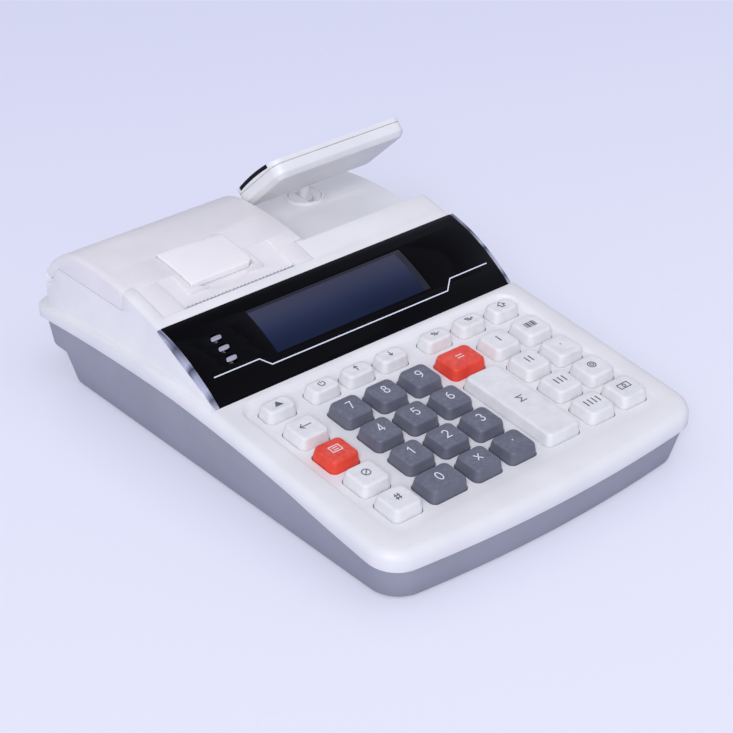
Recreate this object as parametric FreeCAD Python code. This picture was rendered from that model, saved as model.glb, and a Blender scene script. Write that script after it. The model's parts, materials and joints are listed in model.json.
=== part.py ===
import FreeCAD, Part
import math
import os

# Ticket register: a portable register with a keyboard, a sloping operator display,
# a receipt printer under a hinged cover and a customer display that lifts and swivels.
# Millimetres. X to the right, Y to the back, Z up. The origin is on the table, under
# the middle of the case. Heights below are above the underside of the case, and the
# finished solids are lifted by the stand of the feet.

# Case
FOOT_STAND = 1.0
WALL = 2.4
SHELL_HALF_W = 87.5          # white shell at its lower rim
SHELL_FRONT_Y = -121.5       # front corners of the rim
SHELL_APEX_Y = -130.6        # meeting point of the two straight lines of the bowed front
SHELL_REAR_Y = 127.0
PAST_SIDE = 7.5              # what is cut to the shell's plan is drawn this far past its sides
BASE_FOOT_HALF_W = 82.0      # grey base on the table
BASE_FOOT_FRONT_Y = -117.5
BASE_STEP_HALF_W = 86.0      # grey base at the height of the rear step
BASE_TOP_HALF_W = 86.7
BASE_STEP_Z = 16.0
BASE_TOP_Z = 34.0
BASE_REAR_Y = 108.0          # rear wall below the overhang
OVERHANG_REAR_Y = 119.0
CORNER_R_FRONT = 14.0
CORNER_R_REAR = 12.0
BOW_R_SHARE = 0.8            # share of each half of the front that the bow's arc takes
SEAM_GAP = 0.3
SEAM = [(-140, 14.6), (-110.5, 17.0), (-62.5, 24.0), (-32.0, 27.6), (17.5, 31.0),
        (69.5, 30.3), (140, 25.0)]

# Feet, screws and sockets of the base
FOOT_R = 6.0
FOOT_SUNK = 1.0
FEET = [(-60, -96), (60, -96), (-58, 96), (58, 96)]
BOSS_R = 4.0
BOSSES = [(-77, -104, 18.0), (77, -104, 18.0), (-75, 92, 26.0), (75, 92, 26.0)]   # x, y, top
BOSS_GAP = 0.15
REAR_BOSS_END = 44.0         # upper end of the shell's rear bosses
SCREW_R = 1.4
SCREW_HEAD_R = 2.6
SCREW_HEAD_T = 2.0
SCREW_SUNK = 3.0
SCREW_BITE = 4.0             # thread length above the base's boss
PORTS_X = (20.0, 62.0)
PORTS_Z = (3.0, 15.0)
PORTS_DEPTH = 16.0

# Key deck
DECK_TILT = 5.0
DECK_Z = 30.7                # height of the key deck at the front edge of the first key row
ROW_Y = -49.5                # that edge
RIM_TILT = 6.4               # outer surface round the deck
RIM_PANEL_Z = 36.9           # its height at the panel's lower edge
DECK_T = 2.2
RECESS_HALF_W = 74.8
RECESS_FRONT_Y = -112.0
RECESS_REAR_Y = -14.2
RECESS_DRAFT = 2.6
RECESS_R = 6.0
RIM_BEVEL = 2.8              # the shell's upper outer edge is rounded in three flats
RIM_BEVEL_STEP = 1.0

# Keys
PITCH = 19.0
KEY = 15.0
KEY_WIDE = 19.0
KEY_SHORT = 9.6              # depth of the keys in the function row
KEY_H = 5.4
KEY_TAPER = 1.3
KEY_CORNER = 2.2
KEY_CORNER_STEPS = 2         # flats that turn a corner
KEY_EDGE = 0.7
KEY_TRAVEL = 3.0
KEY_GAP = 0.4
KEY_FLANGE = 1.1
KEY_FLANGE_T = 0.5
KEY_X = {"a": -70.4, "b": -46.7, "c": -27.7, "d": -8.7, "e": 12.2, "f": 37.2, "g": 56.3}
FUNCTION_ROW_V = 21.6
FUNCTION_X = [-70.3, -46.6, -27.6, -8.8, 16.7, 36.5, 56.5]
MAT_GAP = 0.3                # below a pressed key
MAT_T = 1.0
BOARD_T = 1.6

# Operator panel
PANEL_LOW = (-9.5, 36.9)
PANEL_HIGH = (30.7, 56.9)
PANEL_BULGE = 3.0
PANEL_SEAT = 1.2
PANEL_HALF_W = 81.5
TRIM_T = 2.2
LCD_HALF_W = 43.5
LCD_LOW = 12.2
LCD_HIGH = 37.0
LENS_GAP = 0.15
LAMP_X = (-66.4, -62.4)
LAMP_LOWS = (15.8, 21.6, 27.4)
LAMP_H = 4.2

# Upper body
UPPER_FOOT_HALF_W = 85.2
UPPER_FOOT_Z = 28.0
UPPER_CORNER_R = 18.0
CROWN_HALF_W = 81.2
CROWN_TOP_Z = 68.0
CROWN_START = (35.5, 58.1)
CROWN_ANGLE = 17.0
CROWN_REAR = (92.0, 65.0)
CROWN_FALL = (118.6, 48.1)
BULGE = (126.9, 30.8)
SIDE_EDGE_R = 3.0
SIDE_EDGE_FLATS = 3
SLAB_TOP = [(10.5, 38.9), (40.0, 38.6), (70.0, 36.7), (95.0, 34.5), (122.0, 31.5)]

# Printer cover
COVER_GAP = 0.35
COVER_T = 2.2
COVER_FRONT_Y = 36.0
COVER_NARROW_X = (-76.0, 4.5)
COVER_RIGHT_X = 8.5
COVER_STEP_Y = 58.0
COVER_RIGHT_STEP_Y = 49.0
SKIRT_Z = 54.5
HINGE_SHARE = 0.93           # place of the hinge along the rear arc of the crown
BARREL_R = 2.6
SWEEP_R = 4.3                # room round the hinge for the opening cover's edge
PIN_R = 1.3
PIN_GAP = 0.05
BARREL_X = (-78.0, 5.0)
EAR_T = 2.4
TRAY_X = (-65.5, -5.0)
TRAY_FRONT = (34.0, 55.9)     # line of the tray's floor
TRAY_REAR = (56.0, 62.6)
TRAY_FLOOR_T = 2.6
SCOOP_REACH = 5.5            # finger scoop in the tray in front of the latch
SCOOP_HALF_W = 15.0
SCOOP_DEPTH = 1.3
SLOT_T = 1.6                 # width of the paper slot

# Tear bar
TEAR_T = 0.4
TEAR_TOP = 58.9
TOOTH = 2.0
TOOTH_H = 0.6

# Cover latch
LATCH_X = (-54.0, -20.5)
LATCH_Y = (46.0, 71.5)
LATCH_PROUD = 1.3
LATCH_SUNK = 1.5
LATCH_GAP = 0.4
LATCH_FLOOR_T = 1.6

# Printer
PLATEN = (42.0, 50.3)
PLATEN_R = 4.5
PLATEN_X = (-64.0, -7.0)
SHAFT_R = 2.0
SHAFT_GAP = 0.06
EAR_X = (-67.6, -5.4)
EAR_PLATE_T = 2.0
GEAR_TEETH = 20
GEAR_MODULE = 0.48
GEAR_T = 3.6
TUB_AXIS = (78.0, 44.0)
TUB_R = 24.0
TUB_X = (-66.5, -4.5)
TUB_T = 2.0
TUB_FLANGE_Z = 50.0
BAY_JOINT = 0.05             # between the trough and its cheeks, feet and rim
SHELF_Z = 52.4               # underside of the rim that carries the front of the cover

# Customer display
RECESS_LEFT_X = 9.0
RECESS_WALL_Y = 47.8
FLOOR = [(47.8, 47.9), (80.0, 52.3), (113.0, 49.2)]
POD_X = 47.8
POD_HALF_W = 38.0
POD_LENGTH = 39.4
POD_T = 10.3
POD_CROWN = 1.4
POD_SPLIT = 6.6
POD_CORNER = 5.0
POD_EDGE = 2.2
POD_SLOPE = 6.3              # slope of the folded display, rising to the back
POD_RAISE = 49.3             # turn from folded to raised
POD_PIVOT = (95.2, 51.2)
POD_FOLDED = (88.6, 54.25)   # lower rear edge of the folded display
POD_WINDOW_T = 1.0
POD_WINDOW_MARGIN = 1.3
TURRET_R = 7.8
TURRET_DEPTH = 6.0           # turret's lower end below the tilting axis
FLANGE_R = 9.4               # flange that keeps the turret in
FLANGE_TOP = 47.6
COLLAR_GAP = 0.3
COLLAR_T = 1.3
COLLAR_TOP = 53.6
STEM_R = 2.5
STEM_TOP = 62.5

V = FreeCAD.Vector


def deck_z(y):
    return DECK_Z + (y - ROW_Y) * math.tan(math.radians(DECK_TILT))


def rim_z(y):
    return RIM_PANEL_Z + (y - PANEL_LOW[0]) * math.tan(math.radians(RIM_TILT))


def box(x0, x1, y0, y1, z0, z1):
    return Part.makeBox(x1 - x0, y1 - y0, z1 - z0, V(x0, y0, z0))


def rounded_loop(corners, z):
    """Closed wire through corners (x, y, radius) at height z, each turned by a tangent arc."""
    edges = []
    ends = []
    count = len(corners)
    for i, (x, y, r) in enumerate(corners):
        p = V(x, y, z)
        a = V(*corners[i - 1][:2], z) - p
        b = V(*corners[(i + 1) % count][:2], z) - p
        a.normalize()
        b.normalize()
        half = a.getAngle(b) / 2
        reach = r / math.tan(half)
        middle = a + b
        middle.normalize()
        centre = p + middle * (r / math.sin(half))
        ends.append((p + a * reach, centre - middle * r, p + b * reach))
    for i, (start, mid, end) in enumerate(ends):
        edges.append(Part.Arc(start, mid, end).toShape())
        following = ends[(i + 1) % count][0]
        if end.distanceToPoint(following) > 1e-4:
            edges.append(Part.LineSegment(end, following).toShape())
    return Part.Wire(edges)


def case_loop(half_w, front_y, apex_y, rear_y, z, r_front=CORNER_R_FRONT, r_rear=CORNER_R_REAR):
    """Plan of the case: rounded corners and a bowed front."""
    slope = math.atan2(front_y - apex_y, half_w)
    bow_r = BOW_R_SHARE * half_w / math.tan(slope)
    return rounded_loop([(-half_w, rear_y, r_rear), (-half_w, front_y, r_front), (0, apex_y, bow_r),
                         (half_w, front_y, r_front), (half_w, rear_y, r_rear)], z)


def plan_prism(half_w, front_y, apex_y, rear_y, z0, z1, r_rear=CORNER_R_REAR):
    loop = case_loop(half_w, front_y, apex_y, rear_y, z0, r_rear=r_rear)
    return Part.Face(loop).extrude(V(0, 0, z1 - z0))


def across(points, x0, x1):
    """Solid between x0 and x1 with the side profile points (y, z); three in a tuple make an arc."""
    first = points[0][0] if isinstance(points[0][0], tuple) else points[0]
    edges = []
    here = None
    for item in points + [first]:
        corners = [V(x0, *p) for p in item] if isinstance(item[0], tuple) else [V(x0, *item)]
        if here is not None and here.distanceToPoint(corners[0]) > 1e-6:
            edges.append(Part.LineSegment(here, corners[0]).toShape())
        if len(corners) == 3:
            edges.append(Part.Arc(*corners).toShape())
        here = corners[-1]
    return Part.Face(Part.Wire(edges)).extrude(V(x1 - x0, 0, 0))


def tangent_arc(start, angle, end):
    """Arc from start at the given direction to end: the arc's middle and its direction at the end."""
    chord = math.atan2(end[1] - start[1], end[0] - start[0])
    turn = angle - chord
    half = math.dist(start, end) / 2
    sagitta = half * math.tan(turn / 2)
    middle = ((start[0] + end[0]) / 2 - sagitta * math.sin(chord),
              (start[1] + end[1]) / 2 + sagitta * math.cos(chord))
    return middle, chord - turn


def inset(point, angle, depth):
    return (point[0] + depth * math.sin(angle), point[1] - depth * math.cos(angle))


def crown(depth=0.0):
    """The upper body's top line as two tangent arcs and the line down to the rear bulge."""
    start_angle = math.radians(CROWN_ANGLE)
    mid_1, angle_1 = tangent_arc(CROWN_START, start_angle, CROWN_REAR)
    mid_2, angle_2 = tangent_arc(CROWN_REAR, angle_1, CROWN_FALL)
    chord_1 = math.atan2(CROWN_REAR[1] - CROWN_START[1], CROWN_REAR[0] - CROWN_START[0])
    chord_2 = math.atan2(CROWN_FALL[1] - CROWN_REAR[1], CROWN_FALL[0] - CROWN_REAR[0])
    first = (inset(CROWN_START, start_angle, depth), inset(mid_1, chord_1, depth),
             inset(CROWN_REAR, angle_1, depth))
    second = (first[2], inset(mid_2, chord_2, depth), inset(CROWN_FALL, angle_2, depth))
    last = inset(BULGE, angle_2, depth)
    return [first, second, last]


def hinge():
    """Axis (y, z) of the cover's hinge, its barrel flush with the crown, and the crown's normal there."""
    arc = Part.Arc(*[V(0, *p) for p in crown()[1]]).toShape()
    point = arc.valueAt(arc.FirstParameter + HINGE_SHARE * (arc.LastParameter - arc.FirstParameter))
    outward = point - arc.Curve.Center
    outward.normalize()
    axis = point - outward * BARREL_R
    return (axis.y, axis.z), outward


def leaning_sides(y0, y1, depth=0.0):
    """Block with the leaning side walls of the upper body."""
    half = [(UPPER_FOOT_HALF_W - depth, UPPER_FOOT_Z), (CROWN_HALF_W - depth, CROWN_TOP_Z)]
    loop = half + [(-x, z) for x, z in reversed(half)]
    wire = Part.makePolygon([V(x, y0, z) for x, z in loop + loop[:1]])
    return Part.Face(wire).extrude(V(0, y1 - y0, 0))


def below_seam(offset):
    """Everything below the seam, a line of arcs that rises to the back and sinks again."""
    line = [(y, z + offset) for y, z in SEAM]
    arcs = [tuple(line[i:i + 3]) for i in range(0, len(line) - 2, 2)]
    return across(arcs + [(line[-1][0], -20), (line[0][0], -20)], -120, 120)


def loft(loops):
    return Part.makeLoft(loops, True, True)


def tilt_to_deck(shape):
    """Move a shape drawn on the level deck (w = 0 at z = 0, v = 0 at y = 0) to its place."""
    shape.rotate(V(0, 0, 0), V(1, 0, 0), DECK_TILT)
    shape.translate(V(0, ROW_Y, DECK_Z))
    return shape


def cylinder_x(radius, x0, x1, centre):
    return Part.makeCylinder(radius, x1 - x0, V(x0, *centre), V(1, 0, 0))


def cylinder_z(radius, x, y, z0, z1):
    return Part.makeCylinder(radius, z1 - z0, V(x, y, z0), V(0, 0, 1))


def bar_x(radius, x0, x1, centre, sides=16):
    """Round bar along X turned in flats."""
    points = [(centre[0] + radius * math.cos(2 * math.pi * i / sides),
               centre[1] + radius * math.sin(2 * math.pi * i / sides)) for i in range(sides)]
    return across(points, x0, x1)


def round_prism(radius, x, y, z0, z1, sides=24):
    """Upright round piece turned in flats."""
    turns = [2 * math.pi * i / sides for i in range(sides)]
    points = [V(x + radius * math.cos(a), y + radius * math.sin(a), z0) for a in turns]
    return Part.Face(Part.makePolygon(points + points[:1])).extrude(V(0, 0, z1 - z0))


def fuse(shapes):
    result = shapes[0]
    for shape in shapes[1:]:
        result = result.fuse(shape)
    return result.removeSplitter()


def key_layout():
    """Every key as (name, x0, v0, width, depth) on the deck, v running back from the first row."""
    keys = []
    for i, x in enumerate(FUNCTION_X):
        keys.append((f"key_function_{i + 1}", x, FUNCTION_ROW_V, KEY, KEY_SHORT))
    for row in range(4):
        v = -row * PITCH
        for column in "abcdfg":
            width, x = KEY, KEY_X[column]
            if row == 3 and column == "b":
                width, x = KEY_WIDE, KEY_X[column] + KEY - KEY_WIDE
            keys.append((f"key_{column}{row + 1}", x, v, width, KEY))
    keys.append(("key_e1", KEY_X["e"], 0, KEY_WIDE, KEY))
    keys.append(("key_e2", KEY_X["e"], -3 * PITCH, KEY_WIDE, 2 * PITCH + KEY))
    return keys


def rectangle_loop(x0, x1, y0, y1, radius, z):
    return rounded_loop([(x0, y0, radius), (x1, y0, radius), (x1, y1, radius), (x0, y1, radius)], z)


def stepped_loop(x0, x1, y0, y1, radius, z):
    """Points of a rectangle whose corners are turned by a few flats."""
    points = []
    centres = [(x1 - radius, y1 - radius), (x0 + radius, y1 - radius), (x0 + radius, y0 + radius),
               (x1 - radius, y0 + radius)]
    for quarter, (x, y) in enumerate(centres):
        for step in range(KEY_CORNER_STEPS + 1):
            a = math.pi / 2 * (quarter + step / KEY_CORNER_STEPS)
            points.append(V(x + radius * math.cos(a), y + radius * math.sin(a), z))
    return points


def skin(rings):
    """Solid of flat faces through rings of points, with the first and the last ring closed."""
    faces = []
    for lower, upper in zip(rings, rings[1:]):
        for i in range(len(lower)):
            corners = [lower[i - 1], lower[i], upper[i], upper[i - 1]]
            faces.append(Part.Face(Part.makePolygon(corners + corners[:1])))
    faces.append(Part.Face(Part.makePolygon(rings[0][::-1] + rings[0][-1:])))
    faces.append(Part.Face(Part.makePolygon(rings[-1] + rings[-1][:1])))
    solid = Part.makeSolid(Part.makeShell(faces))
    if solid.Volume < 0:
        solid.reverse()
    return solid


def key_cap(x, v, width, depth):
    """Key with its sleeve through the deck and the flange that keeps it in."""
    flange_z = -DECK_T - KEY_GAP
    shoulder_z = KEY_H - KEY_EDGE
    shoulder = KEY_TAPER * shoulder_z / KEY_H
    levels = [(-KEY_FLANGE, flange_z - KEY_FLANGE_T), (-KEY_FLANGE, flange_z), (0, flange_z), (0, 0),
              (shoulder, shoulder_z), (shoulder + KEY_EDGE, KEY_H)]
    rings = [stepped_loop(x + inward, x + width - inward, v + inward, v + depth - inward, KEY_CORNER, z)
             for inward, z in levels]
    return tilt_to_deck(skin(rings))


def panel_profile(low=0.0, bulge=PANEL_BULGE):
    """Side profile of the operator panel: flat seat, arched face."""
    angle = math.atan2(PANEL_HIGH[1] - PANEL_LOW[1], PANEL_HIGH[0] - PANEL_LOW[0])
    middle = ((PANEL_LOW[0] + PANEL_HIGH[0]) / 2, (PANEL_LOW[1] + PANEL_HIGH[1]) / 2)
    face = (PANEL_LOW, inset(middle, angle, -bulge), PANEL_HIGH)
    return [face, inset(PANEL_HIGH, angle, PANEL_SEAT + low), inset(PANEL_LOW, angle, PANEL_SEAT + low)]


def on_panel(x0, x1, s0, s1, n0, n1):
    """Block on the panel: s up its chord from the lower edge, n out from the chord."""
    angle = math.degrees(math.atan2(PANEL_HIGH[1] - PANEL_LOW[1], PANEL_HIGH[0] - PANEL_LOW[0]))
    block = box(x0, x1, s0, s1, n0, n1)
    block.rotate(V(0, 0, 0), V(1, 0, 0), angle)
    block.translate(V(0, *PANEL_LOW))
    return block


def cover_space(gap):
    """Space of the printer cover, grown by gap."""
    top = CROWN_TOP_Z + 4
    narrow = box(COVER_NARROW_X[0] - gap, COVER_NARROW_X[1] + gap, COVER_FRONT_Y - gap,
                 COVER_STEP_Y + 1, SKIRT_Z - gap, top)
    right = box(0, COVER_RIGHT_X + gap, COVER_RIGHT_STEP_Y - gap, 100, SKIRT_Z - gap, top)
    axis, outward = hinge()
    pivot = V(0, *axis)
    foot = pivot - V(0, -outward.z, outward.y) * gap
    reach = foot + outward * 12
    back = foot - outward * 3
    side = [(COVER_STEP_Y - gap, SKIRT_Z - gap), (back.y - 6, SKIRT_Z - gap), (back.y, back.z),
            (reach.y, reach.z), (reach.y, top), (COVER_STEP_Y - gap, top)]
    wide = across(side, -92, COVER_RIGHT_X + gap)
    return fuse([narrow, right, wide])


def upper_outer():
    """Upper body: panel slope, crown and leaning sides, its long upper edges rounded in flats."""
    seat = 4
    profile = [PANEL_LOW, PANEL_HIGH] + crown()
    profile += [(BULGE[0], UPPER_FOOT_Z), (PANEL_LOW[0] - seat, UPPER_FOOT_Z)]
    lean = (UPPER_FOOT_HALF_W - CROWN_HALF_W) / (CROWN_TOP_Z - UPPER_FOOT_Z)
    core = across(profile, -90, 90).common(leaning_sides(-60, 140, SIDE_EDGE_R * (1 - lean)))
    body = [core]
    for side in (-1, 1):
        wall = next(f for f in core.Faces if abs(f.CenterOfMass.x - side * CROWN_HALF_W) < 3
                    and abs(f.normalAt(0, 0).x) > 0.9)
        for i in range(SIDE_EDGE_FLATS):
            a, b = (math.pi / 2 * (i + k) / SIDE_EDGE_FLATS for k in (0, 1))
            outward = side * SIDE_EDGE_R * (math.sin(b) - math.sin(a))
            step = V(outward, 0, SIDE_EDGE_R * (math.cos(b) - math.cos(a)))
            body.append(wall.extrude(step))
            wall = wall.copy()
            wall.translate(step)
    plan = plan_prism(UPPER_FOOT_HALF_W, -60, -60.1, SHELL_REAR_Y, UPPER_FOOT_Z, 90, UPPER_CORNER_R)
    return fuse(body).common(plan)


def slab_outer():
    """Lower part of the white shell: bowed front lip, key deck rim and the ledge round the upper body."""
    front_y = -140
    front_z = 10
    profile = [(front_y, front_z), (front_y, rim_z(front_y)), (PANEL_LOW[0], RIM_PANEL_Z)]
    profile += SLAB_TOP + [BULGE, (BULGE[0] - 3.4, 24), (BULGE[0] - 3.4, front_z)]
    slab = across(profile, -SHELL_HALF_W - PAST_SIDE, SHELL_HALF_W + PAST_SIDE)
    slab = slab.common(plan_prism(SHELL_HALF_W, SHELL_FRONT_Y, SHELL_APEX_Y, SHELL_REAR_Y, 0, 60))
    rim = [e for e in slab.Edges
           if e.BoundBox.YMax < PANEL_LOW[0] + 0.5 and e.BoundBox.ZMin > 20
           and e.BoundBox.XLength < 2 * SHELL_HALF_W - 2 and e.BoundBox.ZMax < RIM_PANEL_Z + 0.5]
    slab = slab.makeChamfer(RIM_BEVEL, rim)
    return slab.makeChamfer(RIM_BEVEL_STEP, [e for e in slab.Edges if beside_bevel(e)])


def beside_bevel(edge):
    """Whether an edge is one of the two long edges of the bevel round the key deck."""
    box = edge.BoundBox
    middle = edge.valueAt((edge.FirstParameter + edge.LastParameter) / 2)
    below = rim_z(middle.y) - middle.z
    return (box.YMax < PANEL_LOW[0] + 0.6 and box.ZMin > 15 and max(box.XLength, box.YLength) > 3
            and min(abs(below), abs(below - RIM_BEVEL)) < 0.3)


def base_outer(inward=0.0):
    """Grey base, or with inward its hollow."""
    low = inward
    foot = (BASE_FOOT_HALF_W - inward, BASE_FOOT_FRONT_Y + inward, BASE_FOOT_FRONT_Y - 9 + inward)
    step = (BASE_STEP_HALF_W - inward, SHELL_FRONT_Y + 1 + inward, SHELL_APEX_Y + 1 + inward)
    top = (BASE_TOP_HALF_W - inward, SHELL_FRONT_Y + 1 + inward, SHELL_APEX_Y + 1 + inward)
    step_z = BASE_STEP_Z + inward
    lower = loft([case_loop(*foot, BASE_REAR_Y - inward, low),
                  case_loop(*step, BASE_REAR_Y + 2 - inward, step_z)])
    upper = loft([case_loop(*step, OVERHANG_REAR_Y - inward, step_z),
                  case_loop(*top, SHELL_REAR_Y - 2.6 - inward, BASE_TOP_Z + inward)])
    return lower.fuse(upper)


def bottom_case():
    case = base_outer().cut(base_outer(WALL)).common(below_seam(-SEAM_GAP / 2))
    for x, y, top in BOSSES:
        case = case.fuse(round_prism(BOSS_R, x, y, WALL - 0.5, top, 16).common(base_outer()))
    for x, y, top in BOSSES:
        case = case.cut(round_prism(SCREW_R + 0.2, x, y, -1, top + 1, 12))
        case = case.cut(round_prism(SCREW_HEAD_R + 0.3, x, y, -1, SCREW_SUNK))
    for x, y in FEET:
        case = case.cut(round_prism(FOOT_R + 0.3, x, y, -1, FOOT_SUNK))
    port = box(PORTS_X[0] - 0.3, PORTS_X[1] + 0.3, BASE_REAR_Y - 8, BASE_REAR_Y + 6,
               PORTS_Z[0] - 0.3, PORTS_Z[1] + 0.3)
    return case.cut(port).removeSplitter()


def feet():
    return Part.makeCompound([round_prism(FOOT_R, x, y, -FOOT_STAND, FOOT_SUNK) for x, y in FEET])


def case_screws():
    screws = []
    for x, y, top in BOSSES:
        head = round_prism(SCREW_HEAD_R, x, y, SCREW_SUNK - SCREW_HEAD_T, SCREW_SUNK, 16)
        shank = round_prism(SCREW_R, x, y, SCREW_SUNK, top + SCREW_BITE, 8)
        screws.append(head.fuse(shank))
    return Part.makeCompound(screws)


def port_block():
    x0, x1 = PORTS_X
    z0, z1 = PORTS_Z
    rear = BASE_REAR_Y + 0.3
    block = box(x0, x1, rear - PORTS_DEPTH, rear, z0, z1)
    data = box(x0 + 4, x0 + 16, rear - 12, rear + 1, z0 + 2, z1 - 2)
    jack = Part.makeCylinder(4.0, 10, V(x1 - 8, rear - 9, (z0 + z1) / 2), V(0, 1, 0))
    pin = Part.makeCylinder(1.0, 8, V(x1 - 8, rear - 9.5, (z0 + z1) / 2), V(0, 1, 0))
    return block.cut(data).cut(jack).fuse(pin)


def shell_cavity():
    """Inside of the white shell."""
    deck_front = (SHELL_FRONT_Y + 4, deck_z(SHELL_FRONT_Y + 4) - DECK_T)
    deck_rear = (RECESS_REAR_Y + 2, deck_z(RECESS_REAR_Y + 2) - DECK_T)
    angle = math.atan2(PANEL_HIGH[1] - PANEL_LOW[1], PANEL_HIGH[0] - PANEL_LOW[0])
    under = PANEL_SEAT + WALL
    panel_low = inset(PANEL_LOW, angle, under)
    panel_high = inset(PANEL_HIGH, angle, under)
    floor = [(y, z - WALL) for y, z in FLOOR]
    main = [(deck_front[0], 0), deck_front, deck_rear, panel_low, panel_high,
            (RECESS_WALL_Y - WALL, panel_high[1] + 2.2), (RECESS_WALL_Y - WALL, floor[0][1])]
    main += [(tuple(floor[0]), tuple(floor[1]), (110.5, 45.4)), (117.5, 33), (117.5, 0)]
    high = across(main, -79.6, 79.6).fuse(bay_opening())
    low = [(SHELL_FRONT_Y - 4, 0), (SHELL_FRONT_Y - 4, rim_z(SHELL_FRONT_Y) - 6.5),
           (PANEL_LOW[0], RIM_PANEL_Z - 6.5), (40, 34), (122, 28), (122, 0)]
    wide = across(low, -90, 90)
    plan = plan_prism(SHELL_HALF_W - WALL, SHELL_FRONT_Y + WALL, SHELL_APEX_Y + WALL,
                      SHELL_REAR_Y - WALL - 1, -5, 70)
    return high.fuse(wide).common(plan)


def bay_opening():
    """Opening under the printer cover; the rim that stays round it carries the cover."""
    left, right = COVER_NARROW_X[0] - COVER_GAP, COVER_NARROW_X[1] + COVER_GAP
    rear = COVER_STEP_Y - COVER_GAP
    return fuse([box(-79.3, 6.0, TUB_AXIS[0] - TUB_R - TUB_T - 0.4, 112, 30, SHELF_Z),
                 box(left, right, COVER_FRONT_Y - COVER_GAP, rear + 1, 30, 60),
                 box(-79.3, 6.0, rear, 112, 30, 60)])


def shell_bosses():
    """Bosses of the white shell that take the case screws."""
    bosses = []
    for x, y, top in BOSSES:
        low = top + BOSS_GAP
        high = REAR_BOSS_END if y > 0 else deck_z(y) - DECK_T + 0.5
        side = math.copysign(1, x)
        wall = sorted((x, side * 80.5))
        bosses.append(round_prism(BOSS_R, x, y, low, high, 16).fuse(box(*wall, y - 1, y + 1, low, high)))
    return fuse(bosses)


def boss_room():
    """Columns below the seam in which the shell's bosses stand."""
    return Part.makeCompound([box(x - BOSS_R - 1, x + BOSS_R + 1, y - BOSS_R - 1, y + BOSS_R + 1, top, 60)
                              for x, y, top in BOSSES])


def display_recess():
    """Space above the floor that takes the folded customer display."""
    top = CROWN_TOP_Z + 6
    return across([tuple(tuple(p) for p in FLOOR), (130, 44.6), (130, top), (RECESS_WALL_Y, top),
                   (RECESS_WALL_Y, FLOOR[0][1])], RECESS_LEFT_X - 0.15, 95)


def key_recess():
    depth = 8.0
    grow = RECESS_DRAFT * depth / 3.0
    v0 = RECESS_FRONT_Y - ROW_Y
    v1 = RECESS_REAR_Y - ROW_Y
    bottom = rectangle_loop(-RECESS_HALF_W, RECESS_HALF_W, v0, v1, RECESS_R, 0)
    top = rectangle_loop(-RECESS_HALF_W - grow, RECESS_HALF_W + grow, v0 - grow, v1 + grow,
                         RECESS_R + grow, depth)
    return tilt_to_deck(loft([bottom, top]))


def key_holes():
    holes = [box(x - KEY_GAP, x + w + KEY_GAP, v - KEY_GAP, v + d + KEY_GAP, -DECK_T - 1, 1)
             for _, x, v, w, d in key_layout()]
    return tilt_to_deck(Part.makeCompound(holes))


def top_shell():
    upper = upper_outer()
    body = slab_outer().fuse(upper)
    seat = across(panel_profile(), -PANEL_HALF_W - TRIM_T - 3, PANEL_HALF_W + TRIM_T + 3)
    body = body.cut(seat).cut(key_recess()).cut(display_recess())
    body = body.cut(shell_cavity()).cut(cover_space(COVER_GAP))
    body = body.fuse(shell_bosses()).cut(below_seam(SEAM_GAP / 2).cut(boss_room()))
    for x, y, top in BOSSES:
        body = body.cut(round_prism(SCREW_R + 0.1, x, y, top - 1, top + SCREW_BITE + 1, 8))
    body = body.cut(key_holes())
    view = on_panel(-LCD_HALF_W + 1.5, LCD_HALF_W - 1.5, LCD_LOW + 1.5, LCD_HIGH - 1.5, -8, 2)
    lamp = on_panel(LAMP_X[0] + 0.5, LAMP_X[1] - 0.5, LAMP_LOWS[0] + 0.5, LAMP_LOWS[-1] + LAMP_H - 0.5, -8, 2)
    body = body.cut(view).cut(lamp)
    axis = hinge()[0]
    body = body.cut(cylinder_x(SWEEP_R, -90, COVER_RIGHT_X + COVER_GAP, axis))
    ears = [(BARREL_X[0] - 0.4 - EAR_T, BARREL_X[0] - 0.4), (BARREL_X[1] + 0.4, BARREL_X[1] + 0.4 + EAR_T)]
    for x0, x1 in ears:
        web = across([(axis[0] - BARREL_R, axis[1]), (axis[0] - BARREL_R, 38), (121.0, 36),
                      (axis[0] + 1.6, axis[1] - 1.0)], x0, x1)
        body = body.fuse(bar_x(BARREL_R, x0, x1, axis).fuse(web))
    body = body.cut(bar_x(PIN_R + PIN_GAP, ears[0][0] - 1, ears[1][1] + 1, axis))
    sleeve_r = TURRET_R + COLLAR_GAP
    collar = cylinder_z(sleeve_r + COLLAR_T, POD_X, POD_PIVOT[0], COLLAR_TOP - 5.0, COLLAR_TOP)
    body = body.fuse(collar).cut(cylinder_z(sleeve_r, POD_X, POD_PIVOT[0], 40, 70))
    body = body.cut(cylinder_z(FLANGE_R + COLLAR_GAP, POD_X, POD_PIVOT[0], 40, FLANGE_TOP + COLLAR_GAP))
    return body.removeSplitter()


def display_panel():
    panel = across(panel_profile(), -PANEL_HALF_W, PANEL_HALF_W)
    panel = panel.cut(on_panel(-LCD_HALF_W, LCD_HALF_W, LCD_LOW, LCD_HIGH, -3, 9))
    for s in LAMP_LOWS:
        panel = panel.cut(on_panel(*LAMP_X, s, s + LAMP_H, -3, 9))
    return panel


def lcd_window():
    lens = across(panel_profile(bulge=PANEL_BULGE - 0.3), -PANEL_HALF_W, PANEL_HALF_W)
    return lens.common(on_panel(-LCD_HALF_W + LENS_GAP, LCD_HALF_W - LENS_GAP, LCD_LOW + LENS_GAP,
                                LCD_HIGH - LENS_GAP, -3, 9))


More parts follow.
